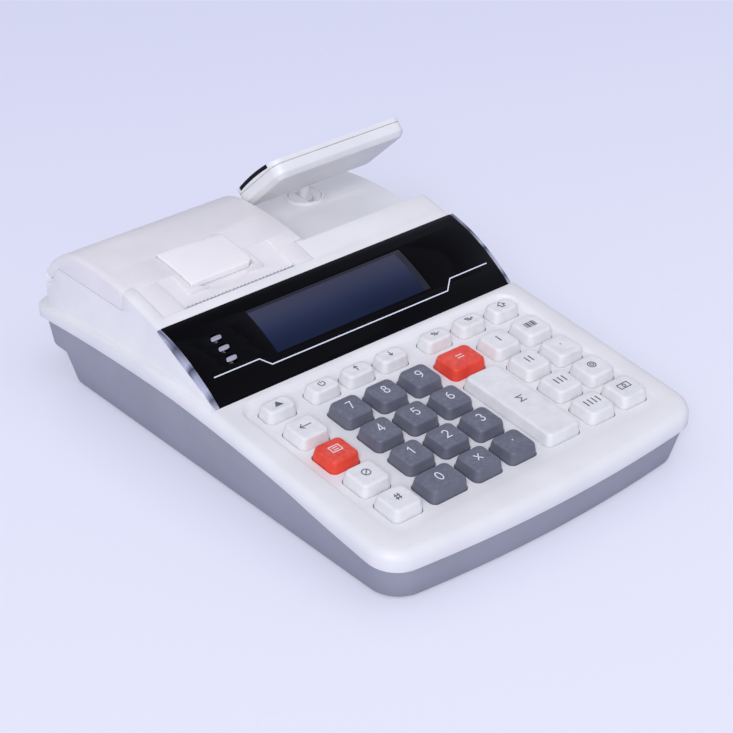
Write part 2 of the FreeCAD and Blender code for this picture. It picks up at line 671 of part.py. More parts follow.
def indicator_lenses():
    lens = across(panel_profile(bulge=PANEL_BULGE - 0.2), -PANEL_HALF_W, PANEL_HALF_W)
    return Part.makeCompound([lens.common(on_panel(LAMP_X[0] + LENS_GAP, LAMP_X[1] - LENS_GAP, s + LENS_GAP,
                                                   s + LAMP_H - LENS_GAP, -3, 9)) for s in LAMP_LOWS])


def trim(side):
    x = sorted((side * (PANEL_HALF_W + 0.1), side * (PANEL_HALF_W + TRIM_T)))
    return across(panel_profile(), *x)


def lcd_module():
    under = -PANEL_SEAT - WALL - 0.3
    glass = on_panel(-LCD_HALF_W - 1, LCD_HALF_W + 1, LCD_LOW - 1, LCD_HIGH + 1, under - 3, under)
    board = on_panel(-LCD_HALF_W - 6, LCD_HALF_W + 6, LCD_LOW - 3, LCD_HIGH + 3, under - 4.6, under - 3)
    return fuse([glass, board])


def mat_top():
    """Height of the contact mat, just below a fully pressed key."""
    return -DECK_T - KEY_GAP - KEY_FLANGE_T - KEY_TRAVEL - MAT_GAP


def key_mat():
    x0, x1 = KEY_X["a"] - 1, KEY_X["g"] + KEY + 1
    v0, v1 = -3 * PITCH - 1, FUNCTION_ROW_V + KEY_SHORT + 0.5
    return tilt_to_deck(box(x0, x1, v0, v1, mat_top() - MAT_T, mat_top()))


def key_board():
    x0, x1 = KEY_X["a"] - 1, KEY_X["g"] + KEY + 1
    v0, v1 = -3 * PITCH - 1, FUNCTION_ROW_V + KEY_SHORT + 0.5
    top = mat_top() - MAT_T
    return tilt_to_deck(box(x0, x1, v0, v1, top - BOARD_T, top))


def main_board():
    board = box(2, 66, -40, 84, 8, 8 + BOARD_T)
    posts = [box(x, x + 5, y, y + 5, WALL, 8) for x in (6, 58) for y in (-36, 76)]
    chips = [box(16, 34, -20, 0, 8 + BOARD_T, 11.5), box(24, 44, 10, 30, 8 + BOARD_T, 12)]
    return fuse([board] + posts + chips)


def printer_cover():
    outer = upper_outer().common(cover_space(0))
    inner = crown(COVER_T)
    front = COVER_FRONT_Y + COVER_T
    low = 20
    hollow = across(inner + [(inner[-1][0], low), (inner[0][0][0], low)], -90, 90)
    hollow = hollow.common(leaning_sides(front, 140, COVER_T))
    right = COVER_RIGHT_X - COVER_T
    hollow = hollow.common(fuse([box(-90, COVER_NARROW_X[1] - COVER_T, 0, COVER_RIGHT_STEP_Y + COVER_T, 0, 90),
                                 box(-90, right, COVER_RIGHT_STEP_Y + COVER_T, 140, 0, 90)]))
    hollow = hollow.cut(box(-90, COVER_NARROW_X[0] + COVER_T, 0, COVER_STEP_Y + COVER_T, 0, 90))
    cover = outer.cut(hollow).fuse(tray_floor().common(outer))
    axis = hinge()[0]
    cover = cover.fuse(bar_x(BARREL_R, *BARREL_X, axis))
    for x0, x1 in ((BARREL_X[0] - 3.2, BARREL_X[0]), (BARREL_X[1], COVER_RIGHT_X + 1)):
        cover = cover.cut(cylinder_x(SWEEP_R, x0, x1, axis))
    floor = latch_band(LATCH_GAP + LATCH_SUNK, LATCH_GAP + LATCH_SUNK + LATCH_FLOOR_T, 2.0)
    pocket = latch_band(-LATCH_PROUD - 3, LATCH_GAP + LATCH_SUNK, LATCH_GAP)
    cover = cover.fuse(floor).cut(pocket)
    cover = cover.cut(paper_tray()).cut(finger_scoop())
    cover = cover.cut(box(*TRAY_X, COVER_FRONT_Y - 1, COVER_FRONT_Y + SLOT_T, 50, 70))
    for x in EAR_X:
        ear = box(x, x + EAR_PLATE_T, PLATEN[0] - 4, PLATEN[0] + 5, PLATEN[1] - 4, 60.5)
        under_crown = crown(1.0)[0]
        ear = ear.common(across([(30, 40), (30, 56.5), under_crown, (under_crown[2][0], 40)], -90, 90))
        cover = cover.fuse(ear)
    bore = bar_x(SHAFT_R + SHAFT_GAP, EAR_X[0] - 1, EAR_X[1] + EAR_PLATE_T + 1, PLATEN)
    cover = cover.cut(bore).cut(bar_x(PIN_R + PIN_GAP, -82, 9, axis))
    return cover.removeSplitter()


def latch_band(top, bottom, grow):
    """Piece of the cover under the latch, between two depths below the crown."""
    upper, lower = crown(top)[0], crown(bottom)[0]
    band = across([upper, (lower[2], lower[1], lower[0])], LATCH_X[0] - grow, LATCH_X[1] + grow)
    return band.common(box(-90, 90, LATCH_Y[0] - grow, LATCH_Y[1] + grow, 30, 90))


def tray_z(y):
    share = (y - TRAY_FRONT[0]) / (TRAY_REAR[0] - TRAY_FRONT[0])
    return TRAY_FRONT[1] + share * (TRAY_REAR[1] - TRAY_FRONT[1])


def tray_wedge(lower, grow):
    front, rear = TRAY_FRONT[0], TRAY_REAR[0]
    return across([(front, tray_z(front) - lower), (rear, tray_z(rear) - lower), (rear, 70), (front, 70)],
                  TRAY_X[0] - grow, TRAY_X[1] + grow)


def paper_tray():
    """Shallow tray in the cover in front of the latch, sunk towards the paper slot."""
    return tray_wedge(0, 0).cut(latch_band(-6, 6, 3))


def finger_scoop():
    """Hollow in the tray under the latch's front edge, deepest at that edge, with a round front."""
    radius = (SCOOP_HALF_W ** 2 + SCOOP_REACH ** 2) / (2 * SCOOP_REACH)
    front = LATCH_Y[0] - SCOOP_REACH
    rear = LATCH_Y[0] + 0.1
    x = (LATCH_X[0] + LATCH_X[1]) / 2
    wedge = across([(front, tray_z(front)), (rear, tray_z(rear) - SCOOP_DEPTH), (rear, 70), (front, 70)],
                   x - SCOOP_HALF_W, x + SCOOP_HALF_W)
    return wedge.common(cylinder_z(radius, x, front + radius, 50, 70))


def tray_floor():
    """Thicker part of the cover under the tray and behind the paper slot."""
    behind_slot = box(TRAY_X[0] - 1, TRAY_X[1] + 1, COVER_FRONT_Y, COVER_FRONT_Y + 2 * SLOT_T,
                      SKIRT_Z, CROWN_TOP_Z)
    return tray_wedge(TRAY_FLOOR_T, 1.5).fuse(behind_slot)


def cover_latch():
    return latch_band(-LATCH_PROUD, LATCH_SUNK, 0)


def cover_hinge_pin():
    return bar_x(PIN_R, BARREL_X[0] - 0.4 - EAR_T + 0.2, BARREL_X[1] + 0.4 + EAR_T - 0.2, hinge()[0])


def platen_roller():
    roller = bar_x(PLATEN_R, *PLATEN_X, PLATEN, 24)
    shaft = bar_x(SHAFT_R, EAR_X[0] - 1.5, EAR_X[1] + EAR_PLATE_T + 0.4 + GEAR_T, PLATEN)
    gear = spur_gear(EAR_X[1] + EAR_PLATE_T + 0.4)
    return fuse([roller, shaft, gear])


def spur_gear(x):
    pitch_r = GEAR_TEETH * GEAR_MODULE / 2
    tip, root = pitch_r + GEAR_MODULE, pitch_r - 1.2 * GEAR_MODULE
    points = []
    for i in range(GEAR_TEETH):
        for share, radius in ((0.0, root), (0.18, tip), (0.42, tip), (0.6, root)):
            a = 2 * math.pi * (i + share) / GEAR_TEETH
            points.append(V(x, PLATEN[0] + radius * math.cos(a), PLATEN[1] + radius * math.sin(a)))
    return Part.Face(Part.makePolygon(points + points[:1])).extrude(V(GEAR_T, 0, 0))


def print_mechanism():
    head_y = PLATEN[0] - PLATEN_R - 0.3
    head = box(PLATEN_X[0], PLATEN_X[1], head_y - 3.0, head_y, 36, 53.5)
    frame = box(-73, 4.4, head_y - 3.0, 51.6, 30, 36)
    cheeks = [box(x, x + 2, head_y - 3.0, 51.6, 35, 48) for x in (-73, 2.4)]
    motor = bar_x(5, -60, -42, (46.0, 24.5)).fuse(box(-60, -42, 41, 51, 24.5, 30.5))
    return fuse([head, frame] + cheeks + [motor])


def roll_space(radius, x0, x1, top=TUB_FLANGE_Z):
    """Round-bottomed block along X round the axis of the paper roll."""
    y, z = TUB_AXIS
    block = cylinder_x(radius, x0, x1, TUB_AXIS).fuse(box(x0, x1, y - radius, y + radius, z, top))
    return block.common(box(-90, 90, 0, 140, 0, top)).removeSplitter()


def paper_bay():
    """Trough for the paper roll."""
    x0, x1 = TUB_X
    return roll_space(TUB_R + TUB_T, x0, x1).cut(roll_space(TUB_R, x0 - 1, x1 + 1, 80))


def bay_frame():
    """Cheeks and feet of the paper trough, and the rim that closes the gap to the case."""
    x0, x1 = TUB_X
    y, z = TUB_AXIS
    outer_r = TUB_R + TUB_T
    opening = box(x0, x1, y - TUB_R, y + TUB_R, TUB_FLANGE_Z - 1, TUB_FLANGE_Z + 3)
    rim = box(-79.0, 5.6, y - outer_r, 108, TUB_FLANGE_Z + BAY_JOINT, TUB_FLANGE_Z + 2).cut(opening)
    pieces = [rim]
    for low in (x0 - TUB_T - BAY_JOINT, x1 + BAY_JOINT):
        pieces.append(roll_space(outer_r, low, low + TUB_T))
    for low in (x0 + 2, x1 - 6):
        pieces.append(box(low, low + 4, y - 3, y + 3, WALL, z - outer_r - BAY_JOINT))
    return Part.makeCompound(pieces)


def tear_bar():
    """Toothed steel strip on the shell's edge of the paper slot."""
    x0, x1 = TRAY_X[0] + 1, TRAY_X[1] - 1
    y = COVER_FRONT_Y - COVER_GAP
    count = int((x1 - x0) / TOOTH)
    points = [V(x0, y, SKIRT_Z), V(x1, y, SKIRT_Z)]
    for i in range(count):
        points += [V(x1 - i * TOOTH, y, TEAR_TOP - TOOTH_H), V(x1 - (i + 0.5) * TOOTH, y, TEAR_TOP)]
    points.append(V(x0, y, TEAR_TOP - TOOTH_H))
    return Part.Face(Part.makePolygon(points + points[:1])).extrude(V(0, TEAR_T, 0))


def raised(shape):
    """Turn a piece drawn folded and level (rear lower edge on the X axis) to its raised place."""
    shape.rotate(V(0, 0, 0), V(1, 0, 0), POD_SLOPE)
    shape.translate(V(POD_X, *POD_FOLDED))
    shape.rotate(V(0, *POD_PIVOT), V(1, 0, 0), -POD_RAISE)
    return shape


def pod_block(z0, z1, margin=0.0):
    loop = rectangle_loop(-POD_HALF_W + margin, POD_HALF_W - margin, -POD_LENGTH + margin, -margin,
                          POD_CORNER - margin / 2, z0)
    return Part.Face(loop).extrude(V(0, 0, z1 - z0))


def pod_crown(drop=0.0):
    """Everything under the arched top of the display head."""
    top = POD_T - drop
    edge = top - POD_CROWN
    return across([((-POD_LENGTH - 0.5, edge), (-POD_LENGTH / 2, top), (0.5, edge)), (0.5, -2),
                   (-POD_LENGTH - 0.5, -2)], -60, 60)


def stem():
    post = cylinder_z(STEM_R, POD_X, POD_PIVOT[0], POD_PIVOT[1], STEM_TOP)
    knuckle = bar_x(STEM_R + 0.4, POD_X - STEM_R, POD_X + STEM_R, POD_PIVOT)
    pin = bar_x(1.5, POD_X - 6.2, POD_X + 6.2, POD_PIVOT, 12)
    return fuse([post, knuckle, pin])


def pod_rear_shell():
    body = pod_block(0, POD_SPLIT)
    low = [e for e in body.Edges if e.BoundBox.ZMax < 0.01]
    body = raised(body.makeChamfer(POD_EDGE, low))
    return body.cut(cylinder_z(STEM_R + 0.15, POD_X, POD_PIVOT[0], POD_PIVOT[1], STEM_TOP + 0.3))


def pod_front_shell():
    body = pod_block(POD_SPLIT + 0.3, POD_T + 1).common(pod_crown())
    inset_window = pod_block(POD_SPLIT, POD_T + 2, POD_WINDOW_MARGIN).cut(pod_crown(POD_WINDOW_T))
    return raised(body.cut(inset_window))


def pod_window():
    gap = 0.15
    pane = pod_block(POD_SPLIT, POD_T + 2, POD_WINDOW_MARGIN + gap).cut(pod_crown(POD_WINDOW_T - 0.1))
    return raised(pane.common(pod_crown(-0.1)))


def pod_turret():
    y, z = POD_PIVOT
    top = COLLAR_TOP - 0.1
    body = cylinder_z(TURRET_R, POD_X, y, z - TURRET_DEPTH, top)
    body = body.fuse(round_prism(FLANGE_R, POD_X, y, z - TURRET_DEPTH, FLANGE_TOP))
    slot = box(POD_X - STEM_R - 0.4, POD_X + STEM_R + 0.4, y - TURRET_R - 1, y + 4.2, z - 3.4, top + 1)
    slot = slot.common(cylinder_z(TURRET_R + 1, POD_X, y, z - 10, top + 2))
    return body.cut(slot).cut(bar_x(1.5 + 0.06, POD_X - 6.4, POD_X + 6.4, POD_PIVOT, 12))


def build():
    parts = {
        "bottom_case": bottom_case(), "top_shell": top_shell(), "display_panel": display_panel(),
        "lcd_window": lcd_window(), "indicator_lenses": indicator_lenses(), "trim_left": trim(-1),
        "trim_right": trim(1), "lcd_module": lcd_module(), "key_mat": key_mat(),
        "key_board": key_board(), "main_board": main_board(), "printer_cover": printer_cover(),
        "cover_latch": cover_latch(), "cover_hinge_pin": cover_hinge_pin(),
        "platen_roller": platen_roller(), "print_mechanism": print_mechanism(),
        "paper_bay": paper_bay(), "bay_frame": bay_frame(), "tear_bar": tear_bar(),
        "pod_rear_shell": pod_rear_shell(),
        "pod_front_shell": pod_front_shell(), "pod_window": pod_window(), "pod_stem": stem(),
        "pod_turret": pod_turret(), "feet": feet(), "case_screws": case_screws(),
        "port_block": port_block(),
    }
    for name, x, v, width, depth in key_layout():
        parts[name] = key_cap(x, v, width, depth)
    return parts


os.makedirs("parts", exist_ok=True)
for node, shape in build().items():
    shape.translate(V(0, 0, FOOT_STAND))
    shape.exportStep(f"parts/{node}.step")
    print(node, len(shape.Solids), round(shape.Volume), shape.isValid())
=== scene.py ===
import json
import math

import bmesh
import bpy
from mathutils import Matrix, Vector


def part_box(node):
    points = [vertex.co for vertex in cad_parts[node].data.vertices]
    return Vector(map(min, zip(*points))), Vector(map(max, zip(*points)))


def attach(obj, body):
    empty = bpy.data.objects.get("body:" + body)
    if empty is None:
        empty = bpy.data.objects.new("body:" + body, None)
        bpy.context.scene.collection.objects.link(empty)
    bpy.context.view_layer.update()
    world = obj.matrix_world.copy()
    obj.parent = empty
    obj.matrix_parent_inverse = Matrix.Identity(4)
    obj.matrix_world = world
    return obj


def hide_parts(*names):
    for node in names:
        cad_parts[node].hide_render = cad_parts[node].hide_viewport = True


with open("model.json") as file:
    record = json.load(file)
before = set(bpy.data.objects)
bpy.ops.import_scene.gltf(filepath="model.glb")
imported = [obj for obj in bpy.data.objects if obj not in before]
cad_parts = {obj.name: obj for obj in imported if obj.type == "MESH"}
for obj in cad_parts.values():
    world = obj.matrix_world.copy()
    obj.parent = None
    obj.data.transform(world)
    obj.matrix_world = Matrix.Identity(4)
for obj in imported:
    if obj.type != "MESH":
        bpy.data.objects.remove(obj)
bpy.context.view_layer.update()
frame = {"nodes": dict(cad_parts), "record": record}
nodes = frame["nodes"]
scene = bpy.context.scene

MM = 0.001
STAND = 1.0                  # the case stands this high on its feet

# Key deck and keys
DECK_TILT = math.radians(5.0)
KEY_FLANGE = 1.1             # the flange under the deck reaches this far past the key
KEY_BELOW = 3.1              # a key's solid reaches this far under the deck's face
KEY_HEIGHT = 5.4
KEY_TOP_INSET = 1.83         # its flat top is this much smaller on each side
KEY_CORNER_R = 2.7
HOLE_GAP = 0.4
HOLE_CORNER_R = 3.1

# Printed legends
DIGIT_HEIGHT = 4.8
DIGIT_WEIGHT = 0.52
MARK_HEIGHT = 4.4
SMALL_MARK_HEIGHT = 3.6
MARK_WEIGHT = 0.42
BAR_HEIGHT = 3.8
BAR_WEIGHT = 0.55
BAR_PITCH = 2.3
LEGEND_BACK = 0.7            # legends sit a little behind the middle of the key
INK_LOW = -0.02              # ink starts just inside the surface, so that no gap shows
INK = 0.05

# Operator panel: an arched face over its chord
PANEL_LOW = Vector((0, -9.5, 36.9 + STAND))
PANEL_CHORD = 44.9
PANEL_TILT = math.atan2(20.0, 40.2)
PANEL_BULGE = 3.0
LCD_HALF_W = 43.5
LCD_LOW, LCD_HIGH = 12.2, 37.0
LCD_FRAME_SIDE = 4.2         # paler frame of the module on its right and at its top
LCD_FRAME_TOP = 2.2
PANEL_LINE_W = 0.5
LAMPS_X = -64.2
LAMP_MIDDLES = (17.9, 23.7, 29.5)
LAMP_HALF = (2.7, 1.15)
LAMP_LEAN = 0.3
LAMP_ROUNDNESS = 0.55        # 1 is an ellipse, and less is nearer to a rectangle
LAMP_PROUD = 0.3

# Crown of the upper body, from the front edge to the top of the back
CROWN_START = (35.5, 58.1 + STAND)
CROWN_REAR = (92.0, 65.0 + STAND)
CROWN_ANGLE = math.radians(17.0)
LATCH_PROUD = 1.3
LATCH_SUNK = 1.5
LATCH_FRONT_R = 2.6
LATCH_REAR_R = 4.2

# Customer display, drawn level with its lower rear edge on the X axis, then folded and raised
POD_FOLDED = Vector((47.8, 88.6, 54.25))
POD_PIVOT = Vector((0.0, 95.2, 51.2))
POD_SLOPE = math.radians(6.3)
POD_RAISE = math.radians(49.3)
POD_MIDDLE = -19.7
POD_HALF_ARCH = 20.2
POD_TOP = 10.3
POD_CROWN = 1.4
GLASS_LOW, GLASS_HIGH = -33.8, -5.6

# Camera, found from the photograph: 733 pixels wide, with a focal length of 2066.61 pixels
IMAGE_WIDTH = 733
FOCAL_LENGTH = 2066.61
SENSOR = 36.0
CAMERA_PLACE = (-0.5006, -0.5936, 0.4898)
CAMERA_AIM = (-0.00233, -0.00878, 0.0267)
DAYLIGHT = (0.885, 0.89, 1.0, 1.0)


def paint(red, green, blue):
    """A colour given as it looks, from 0 to 255, in the shader's linear values."""
    parts = [c / 255 for c in (red, green, blue)]
    return tuple(c / 12.92 if c <= 0.04045 else ((c + 0.055) / 1.055) ** 2.4 for c in parts) + (1.0,)


class Value:
    """A socket in a sum. Each operator adds one Math node, and plain numbers may stand on either side."""

    def __init__(self, nodes_of, socket):
        self.nodes_of = nodes_of
        self.socket = socket

    def math(self, operation, first, second=0.0):
        return self.nodes_of.add("ShaderNodeMath", {"operation": operation}, {0: first, 1: second})

    def __add__(self, other):
        return self.math("ADD", self, other)

    def __sub__(self, other):
        return self.math("SUBTRACT", self, other)

    def __rsub__(self, other):
        return self.math("SUBTRACT", other, self)

    def __mul__(self, other):
        return self.math("MULTIPLY", self, other)

    __radd__ = __add__
    __rmul__ = __mul__


class Nodes:
    """The node tree of a material or of the world."""

    def __init__(self, owner):
        owner.use_nodes = True
        self.tree = owner.node_tree

    def add(self, kind, settings=None, inputs=None, out=0):
        node = self.tree.nodes.new(kind)
        for name, setting in (settings or {}).items():
            if name == "stops":
                self.set_stops(node.color_ramp, setting)
            else:
                setattr(node, name, setting)
        for name, value in (inputs or {}).items():
            self.join(value, node.inputs[name])
        return Value(self, node.outputs[out])

    def set_stops(self, ramp, stops):
        while len(ramp.elements) < len(stops):
            ramp.elements.new(0.5)
        for element, (position, colour) in zip(ramp.elements, stops):
            element.position = position
            element.color = colour

    def join(self, value, socket):
        if isinstance(value, Value):
            self.tree.links.new(value.socket, socket)
        else:
            socket.default_value = value

    def mix(self, share, first, second):
        return self.add("ShaderNodeMix", {"data_type": "RGBA"}, {0: share, 6: first, 7: second}, 2)

    def place(self, kind="Object"):
        return self.add("ShaderNodeTexCoord", out=kind)

    def axes(self, place):
        """The x, y and z of a place."""
        parts = self.add("ShaderNodeSeparateXYZ", {}, {0: place})
        return [Value(self, output) for output in parts.socket.node.outputs]

    def noise(self, size, detail=2.0, place=None):
        """Cloudy pattern whose spots are about size millimetres across."""
        return self.add("ShaderNodeTexNoise", {},
                        {"Vector": place or self.place(), "Scale": 1 / (size * MM), "Detail": detail})

    def smooth(self, value, low, high):
        """0 below low and 1 above high, with a soft change between."""
        return self.add("ShaderNodeMapRange", {"interpolation_type": "SMOOTHSTEP"},
                        {"Value": value, "From Min": low, "From Max": high})


class Finish(Nodes):
    """A material: one shader, whose even values are set by name."""

    def __init__(self, name, **even):
        self.material = bpy.data.materials.new(name)
        super().__init__(self.material)
        self.shader = self.tree.nodes["Principled BSDF"]
        for key, value in even.items():
            self.shader.inputs[key.replace("_", " ").title().replace("Ior", "IOR")].default_value = value

    def feed(self, **values):
        for key, value in values.items():
            self.join(value, self.shader.inputs[key.replace("_", " ").title()])

    def grained(self, *layers):
        """Bump from layers of (pattern, depth in millimetres)."""
        normal = None
        for pattern, depth in layers:
            inputs = {"Height": pattern, "Distance": depth * MM, "Strength": 1.0}
            if normal:
                inputs["Normal"] = normal
            normal = self.add("ShaderNodeBump", {}, inputs)
        self.feed(normal=normal)


def moulded(name, colour, shade, roughness, grain=0.35, depth=0.006, gloss_change=0.1, specular=0.5):
    """Moulded plastic: spark-eroded grain, slight clouding of the colour and handled, shinier patches."""
    finish = Finish(name, specular_ior_level=specular)
    clouds = finish.noise(28.0, 3.0)
    specks = finish.noise(1.1, 4.0)
    shaded = finish.smooth(clouds, 0.3, 0.7) * 0.7 + finish.smooth(specks, 0.55, 0.8) * 0.3
    base = finish.mix(shaded, colour, shade)
    handled = finish.noise(11.0, 4.0)
    finish.feed(base_color=base, roughness=roughness - gloss_change / 2 + handled * gloss_change)
    finish.grained((finish.noise(grain, 3.0), depth), (finish.noise(9.0, 1.0), depth * 3))
    return finish.material


def key_plastic(name, colour, shade, edge, roughness):
    """Key plastic: matt sides, a top polished by fingers and a slightly paler worn rim."""
    finish = Finish(name)
    up = finish.axes(finish.place("Generated"))[2]
    clouds = finish.noise(7.0, 3.0)
    body = finish.mix(finish.smooth(clouds, 0.35, 0.7), colour, shade)
    worn = finish.smooth(finish.noise(1.6), 0.35, 0.75)
    rim = finish.smooth(up, 0.82, 0.93) * (1 - finish.smooth(up, 0.95, 1.0)) * worn
    top = finish.smooth(up, 0.85, 0.97)
    finish.feed(base_color=finish.mix(rim * 0.5, body, edge),
                roughness=roughness - top * 0.1 + finish.noise(3.0, 4.0) * 0.08)
    finish.grained((finish.noise(0.3, 3.0), 0.005))
    return finish.material


def up_panel(axes):
    """Distance up the operator panel's chord, in metres."""
    low = PANEL_LOW * MM
    return (axes[1] - low.y) * math.cos(PANEL_TILT) + (axes[2] - low.z) * math.sin(PANEL_TILT)


def gloss_black():
    """Glossy black panel: hairline scratches and fine dust."""
    finish = Finish("gloss_black", specular_ior_level=0.09)
    dust = finish.smooth(finish.noise(0.7, 5.0), 0.72, 0.86)
    haze = finish.noise(20.0, 3.0)
    finish.feed(base_color=finish.mix(dust * 0.4, paint(4, 4, 6), paint(30, 30, 34)),
                roughness=0.06 + haze * 0.08 + dust * 0.2)
    wipe = finish.add("ShaderNodeMapping", {}, {"Vector": finish.place(), "Scale": (300.0, 40.0, 40.0)})
    finish.grained((finish.add("ShaderNodeTexNoise", {}, {"Vector": wipe, "Scale": 4.0}), 0.001))
    return finish.material


def display_glass():
    """Dark display under the clear window: navy below and grey above, a painted reflection that is also given
    out as a faint painted glow, with the paler frame of the module.
    """
    finish = Finish("display_glass", specular_ior_level=0.12)
    axes = finish.axes(finish.place())
    up = up_panel(axes)
    # The brightening from navy below to grey above is a painted reflection on the glass.
    share = finish.smooth(up, (LCD_LOW + 1.0) * MM, (LCD_HIGH - 2.0) * MM)
    stops = [(0.0, paint(20, 29, 54)), (0.45, paint(38, 46, 74)), (1.0, paint(60, 63, 82))]
    glow = finish.add("ShaderNodeValToRGB", {"stops": stops}, {0: share})
    cells = finish.add("ShaderNodeTexVoronoi", {}, {"Vector": finish.place(), "Scale": 1600.0})
    glow = finish.mix(cells * 0.1, glow, paint(20, 26, 52))
    side_edge = LCD_HALF_W - LCD_FRAME_SIDE
    top_edge = LCD_HIGH - LCD_FRAME_TOP
    right = finish.smooth(axes[0], side_edge * MM, (side_edge + 0.8) * MM)
    top = finish.smooth(up, top_edge * MM, (top_edge + 1.0) * MM)
    frame_mask = right + top * (1 - right)
    # The display's colours also feed the emission, a faint painted glow.
    finish.feed(base_color=finish.mix(frame_mask * 0.85, glow, paint(38, 39, 46)),
                roughness=0.12 + finish.noise(16.0) * 0.08,
                emission_color=finish.mix(frame_mask, glow, paint(0, 0, 0)))
    finish.shader.inputs["Emission Strength"].default_value = 0.08
    return finish.material


def chrome():
    """Plated trim strip: bright, with fine drawing lines along its length and painted reflections, dark and
    light stretches in its colour.
    """
    finish = Finish("chrome", metallic=1.0)
    up = up_panel(finish.axes(finish.place()))
    # This ramp up the strip is painted reflection: its dark and light stretches stand in for the surroundings
    # mirrored in the metal.
    stops = [(0.0, paint(225, 228, 238)), (0.10, paint(120, 124, 140)), (0.2, paint(236, 238, 246)),
             (0.36, paint(210, 214, 226)), (0.45, paint(96, 100, 116)), (0.52, paint(232, 235, 244)),
             (0.72, paint(118, 121, 134)), (0.86, paint(212, 215, 226)), (1.0, paint(170, 172, 184))]
    painted_reflection = finish.add("ShaderNodeValToRGB", {"stops": stops}, {0: up * (1 / (PANEL_CHORD * MM))})
    lines = finish.add("ShaderNodeMapping", {}, {"Vector": finish.place(), "Scale": (9.0, 0.2, 0.2)})
    streaks = finish.add("ShaderNodeTexNoise", {}, {"Vector": lines, "Scale": 500.0, "Detail": 3.0})
    finish.feed(base_color=painted_reflection, roughness=0.12 + streaks * 0.12)
    finish.grained((streaks, 0.002))
    return finish.material


def bright_metal(name, colour, roughness):
    """Steel: drawing lines along X and a few duller spots."""
    finish = Finish(name, metallic=1.0)
    lines = finish.add("ShaderNodeMapping", {}, {"Vector": finish.place(), "Scale": (0.1, 3.0, 3.0)})
    drawn = finish.add("ShaderNodeTexNoise", {}, {"Vector": lines, "Scale": 900.0, "Detail": 4.0})
    spots = finish.smooth(finish.noise(2.5, 4.0), 0.55, 0.75)
    finish.feed(base_color=finish.mix(spots * 0.35, colour, paint(120, 118, 114)),
                roughness=roughness + drawn * 0.15 + spots * 0.12)
    finish.grained((drawn, 0.003))
    return finish.material


def rubber(name, colour, roughness):
    """Rubber: dull, with a coarse powdery surface."""
    finish = Finish(name, specular_ior_level=0.25)
    powder = finish.noise(0.9, 5.0)
    dusty = finish.smooth(powder, 0.45, 0.75) * 0.35
    finish.feed(base_color=finish.mix(dusty, colour, paint(120, 118, 116)),
                roughness=roughness + powder * 0.1)
    finish.grained((finish.noise(0.6, 4.0), 0.02), (finish.noise(4.0), 0.03))
    return finish.material


def circuit_board():
    """Green board with tracks, pads and the weave of its glass cloth."""
    finish = Finish("circuit_board", specular_ior_level=0.5)
    cells = finish.add("ShaderNodeTexVoronoi", {"distance": "MANHATTAN", "feature": "F2"},
                       {"Vector": finish.place(), "Scale": 260.0})
    tracks = finish.smooth(cells, 0.62, 0.66)
    dots = finish.add("ShaderNodeTexVoronoi", {}, {"Vector": finish.place(), "Scale": 330.0})
    pads = 1 - finish.smooth(dots, 0.1, 0.16)
    board = finish.mix(tracks, paint(28, 92, 58), paint(48, 124, 78))
    finish.feed(base_color=finish.mix(pads, board, paint(196, 190, 170)),
                roughness=0.32 + finish.noise(6.0) * 0.15, metallic=pads * 0.8)
    finish.grained((tracks, 0.03), (finish.noise(0.5), 0.01))
    return finish.material


def lamp_silver():
    """Frosted silver lenses of the indicator lamps."""
    finish = Finish("lamp_silver", metallic=0.7)
    frost = finish.noise(0.25, 3.0)
    finish.feed(base_color=finish.mix(frost, paint(170, 172, 184), paint(222, 224, 232)),
                roughness=0.24 + frost * 0.2)
    finish.grained((frost, 0.01))
    return finish.material


def ink(name, colour, thin):
    """Printed ink, a little thinner where the screen's threads were."""
    finish = Finish(name)
    coverage = finish.smooth(finish.noise(0.2, 2.0), 0.3, 0.62)
    finish.feed(base_color=finish.mix(coverage, thin, colour), roughness=0.5 + coverage * 0.1)
    finish.grained((finish.noise(0.15), 0.004))
    return finish.material


FINISHES = {
    "white_shell": moulded("shell_plastic", paint(239, 239, 238), paint(230, 230, 231), 0.40),
    "cover_white": moulded("cover_plastic", paint(240, 237, 236), paint(230, 227, 229), 0.42),
    "grey_case": moulded("base_plastic", paint(156, 159, 169), paint(148, 151, 161), 0.46, 0.4, 0.01),
    "black_gloss": gloss_black(),
    "lcd_glass": display_glass(),
    "indicator": lamp_silver(),
    "chrome_trim": chrome(),
    "circuit": circuit_board(),
    "contact_rubber": rubber("contact_rubber", paint(150, 150, 146), 0.7),
    "steel": bright_metal("drawn_steel", paint(196, 197, 200), 0.24),
    "platen_rubber": rubber("platen_rubber", paint(52, 52, 54), 0.62),
    "black_plastic": moulded("black_plastic", paint(34, 34, 37), paint(26, 26, 29),
                             0.5, 0.4, 0.01, 0.14, 0.4),
    "bay_plastic": moulded("bay_plastic", paint(92, 94, 104), paint(80, 82, 92), 0.5, 0.4, 0.01),
    "foot_rubber": rubber("foot_rubber", paint(58, 58, 60), 0.78),
    "key_dark": key_plastic("key_grey", paint(106, 108, 121), paint(99, 101, 115),
                            paint(134, 136, 148), 0.42),
    "key_red": key_plastic("key_red", paint(240, 74, 52), paint(229, 62, 43),
                           paint(250, 118, 96), 0.38),
    "key_light": key_plastic("key_white", paint(236, 236, 235), paint(227, 227, 228),
                             paint(246, 246, 246), 0.4),
}
WHITE_INK = ink("white_ink", paint(246, 247, 252), paint(214, 215, 224))
GREY_INK = ink("grey_ink", paint(84, 86, 98), paint(118, 120, 130))
LINE_INK = ink("panel_line", paint(240, 243, 252), paint(212, 216, 232))

for part in frame["record"]["subparts"]:
    node = nodes[part["node"]]
    node["slot"] = part["material_slot"]
    node.data.materials.clear()
    node.data.materials.append(FINISHES[part["material_slot"]])


